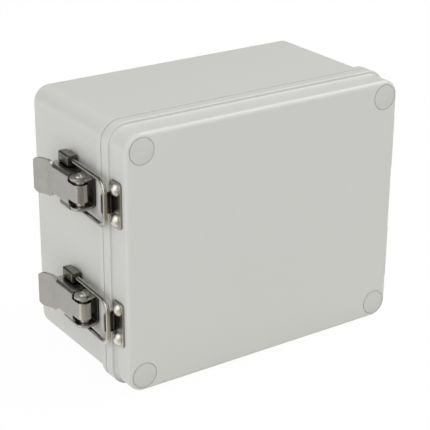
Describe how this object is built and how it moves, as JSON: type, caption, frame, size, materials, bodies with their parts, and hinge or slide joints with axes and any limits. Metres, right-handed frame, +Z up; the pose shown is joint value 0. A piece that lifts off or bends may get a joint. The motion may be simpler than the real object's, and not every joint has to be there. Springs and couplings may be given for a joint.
{
  "type": "terminal box",
  "caption": "Light grey plastic wall box with a side-hinged lid held by stainless draw latches, with a rail-mounted terminal strip on a plate inside.",
  "frame": {"origin": "centre of the back face, which is also the centre of the four wall screw holes", "axes": "+X to the right seen from the front, towards the hinges; +Y into the wall; +Z up"},
  "size_m": [0.193, 0.0955, 0.1438],
  "materials": {
    "grey_plastic": "satin moulded",
    "stainless": "pickled and brushed",
    "zinc_steel": "zinc plated",
    "brass": "turned",
    "gasket_rubber": "matt",
    "terminal_plastic": "moulded",
    "earth_plastic": "moulded"
  },
  "bodies": {
    "base": {"base_shell": "grey_plastic", "insert_nuts": "brass", "mounting_plate": "zinc_steel", "plate_screws": "zinc_steel", "din_rail": "zinc_steel", "rail_screws": "zinc_steel", "terminal_blocks": "terminal_plastic", "earth_terminal": "earth_plastic", "terminal_end_plate": "terminal_plastic", "terminal_clamps": "brass", "terminal_screws": "zinc_steel", "end_stops": "terminal_plastic", "end_stop_screws": "zinc_steel", "latch_bracket_upper": "stainless", "latch_bracket_lower": "stainless", "bracket_rivets": "stainless", "lever_pins": "stainless", "hinge_base_leaf_upper": "stainless", "hinge_base_leaf_lower": "stainless", "hinge_pins": "stainless", "hinge_base_rivets": "stainless"},
    "lid": {"lid_shell": "grey_plastic", "lid_gasket": "gasket_rubber", "corner_plugs": "grey_plastic", "keeper_upper": "stainless", "keeper_lower": "stainless", "keeper_rivets": "stainless", "hinge_lid_leaf_upper": "stainless", "hinge_lid_leaf_lower": "stainless", "hinge_lid_rivets": "stainless"},
    "lever_upper": {"lever_upper": "stainless", "bail_pin_upper": "stainless"},
    "bail_upper": {"bail_upper": "stainless", "bail_sleeves_upper": "stainless"},
    "lever_lower": {"lever_lower": "stainless", "bail_pin_lower": "stainless"},
    "bail_lower": {"bail_lower": "stainless", "bail_sleeves_lower": "stainless"}
  },
  "joints": [
    {"name": "lid_hinge", "type": "hinge", "parent": "base", "child": "lid", "pos_m": [0.0903, -0.0745, 0], "axis": [0, 0, 1], "range_deg": [0, 170]},
    {"name": "lever_upper_pivot", "type": "hinge", "parent": "base", "child": "lever_upper", "pos_m": [-0.0921, -0.0621, 0.0325], "axis": [0, 0, 1], "range_deg": [0, 140]},
    {"name": "bail_upper_pivot", "type": "hinge", "parent": "lever_upper", "child": "bail_upper", "pos_m": [-0.0886, -0.0433, 0.0325], "axis": [0, 0, 1], "range_deg": [-140, 0]},
    {"name": "lever_lower_pivot", "type": "hinge", "parent": "base", "child": "lever_lower", "pos_m": [-0.0921, -0.0621, -0.0325], "axis": [0, 0, 1], "range_deg": [0, 140]},
    {"name": "bail_lower_pivot", "type": "hinge", "parent": "lever_lower", "child": "bail_lower", "pos_m": [-0.0886, -0.0433, -0.0325], "axis": [0, 0, 1], "range_deg": [-140, 0]}
  ],
  "couplings": [
    {"joint": "bail_upper_pivot", "follows": "lever_upper_pivot", "ratio": -1},
    {"joint": "bail_lower_pivot", "follows": "lever_lower_pivot", "ratio": -1}
  ]
}
